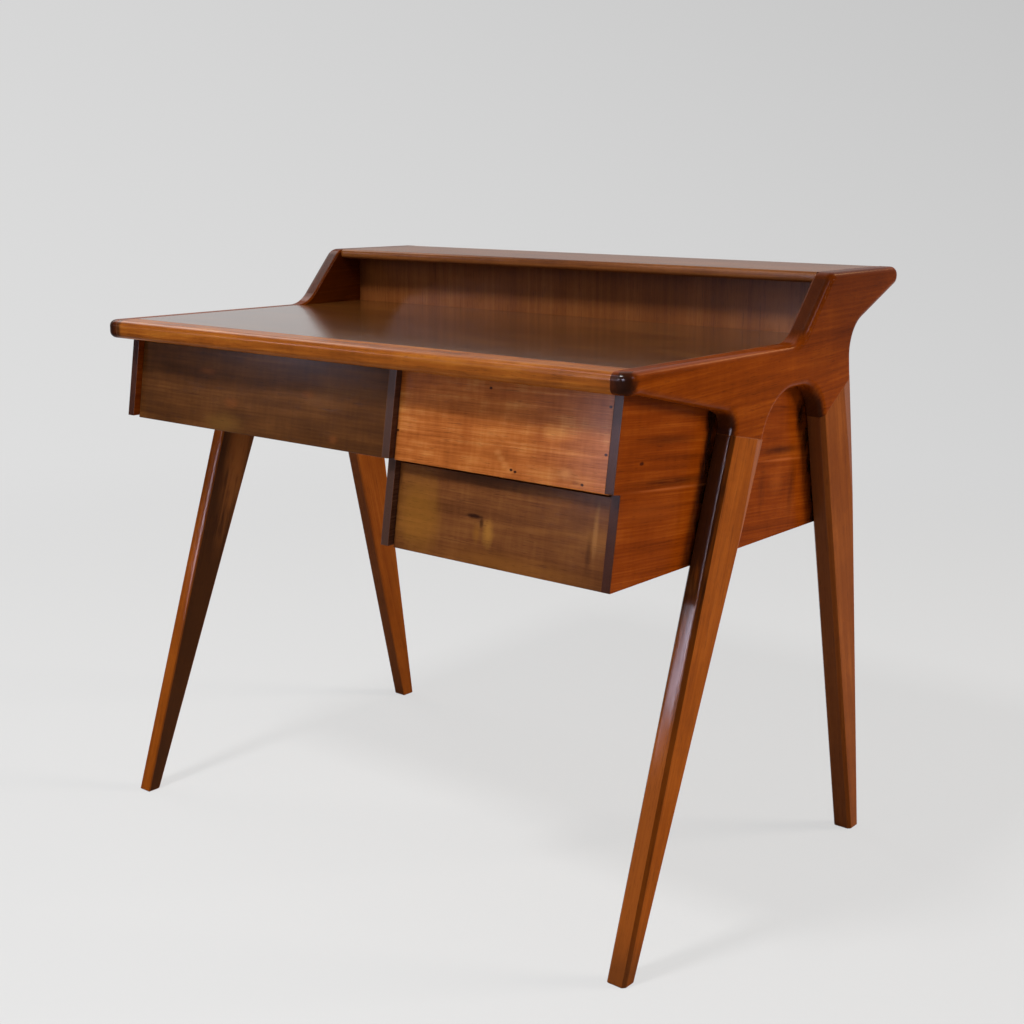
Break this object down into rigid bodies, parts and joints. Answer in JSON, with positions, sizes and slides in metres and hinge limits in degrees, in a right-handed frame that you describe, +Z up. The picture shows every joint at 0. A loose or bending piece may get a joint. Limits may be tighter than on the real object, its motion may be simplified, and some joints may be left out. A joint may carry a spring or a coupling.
{
  "type": "writing desk",
  "caption": "Writing desk on two arched side frames with tapered legs, a bullnose top, a raised rear shelf over a niche, a wide drawer and a pedestal of stacked sloping drawers",
  "frame": {"origin": "middle of the desk's outline on the floor", "axes": "+X to the right of the person who sits at the desk, +Y from the front edge to the back, +Z up"},
  "size_m": [0.963, 0.667, 0.849],
  "materials": {
    "frame_walnut": "satin-gloss lacquered walnut, orange brown",
    "top_walnut": "satin-gloss lacquered walnut, reddish brown",
    "pale_front_walnut": "satin lacquered walnut, lighter orange brown",
    "dark_front_walnut": "satin lacquered walnut, dark brown with golden patches",
    "case_walnut": "satin lacquered walnut, orange brown",
    "panel_walnut": "satin lacquered walnut veneer, dark reddish brown",
    "inner_beech": "bare beech, planed and waxed"
  },
  "bodies": {
    "desk": {"back_panel": "panel_walnut", "back_tenons": "inner_beech", "case_side_left": "case_walnut", "case_side_right": "case_walnut", "desktop": "top_walnut", "drawer_stops": "inner_beech", "front_leg_left": "frame_walnut", "front_leg_right": "frame_walnut", "front_rail": "top_walnut", "kicker_strips": "inner_beech", "left_bay_bottom": "inner_beech", "leg_tenons": "inner_beech", "partition": "case_walnut", "pedestal_back": "panel_walnut", "pedestal_bottom": "inner_beech", "pedestal_divider": "inner_beech", "rail_tongue": "inner_beech", "rear_leg_left": "frame_walnut", "rear_leg_right": "frame_walnut", "runners_left": "inner_beech", "runners_lower": "inner_beech", "runners_upper": "inner_beech", "shelf_lipping": "top_walnut", "shelf_tenons": "inner_beech", "shoulder_left": "frame_walnut", "shoulder_right": "frame_walnut", "top_tenons": "inner_beech", "upper_shelf": "top_walnut"},
    "left_drawer": {"left_drawer_back": "inner_beech", "left_drawer_bottom": "inner_beech", "left_drawer_front": "dark_front_walnut", "left_drawer_side_left": "inner_beech", "left_drawer_side_right": "inner_beech"},
    "upper_drawer": {"upper_drawer_back": "inner_beech", "upper_drawer_bottom": "inner_beech", "upper_drawer_front": "pale_front_walnut", "upper_drawer_side_left": "inner_beech", "upper_drawer_side_right": "inner_beech"},
    "lower_drawer": {"lower_drawer_back": "inner_beech", "lower_drawer_bottom": "inner_beech", "lower_drawer_front": "dark_front_walnut", "lower_drawer_side_left": "inner_beech", "lower_drawer_side_right": "inner_beech"}
  },
  "joints": [
    {"name": "left_drawer_slide", "type": "slide", "parent": "desk", "child": "left_drawer", "axis": [0, -1, 0], "range_m": [0, 0.3]},
    {"name": "upper_drawer_slide", "type": "slide", "parent": "desk", "child": "upper_drawer", "axis": [0, -1, 0], "range_m": [0, 0.3]},
    {"name": "lower_drawer_slide", "type": "slide", "parent": "desk", "child": "lower_drawer", "axis": [0, -1, 0], "range_m": [0, 0.3]}
  ]
}
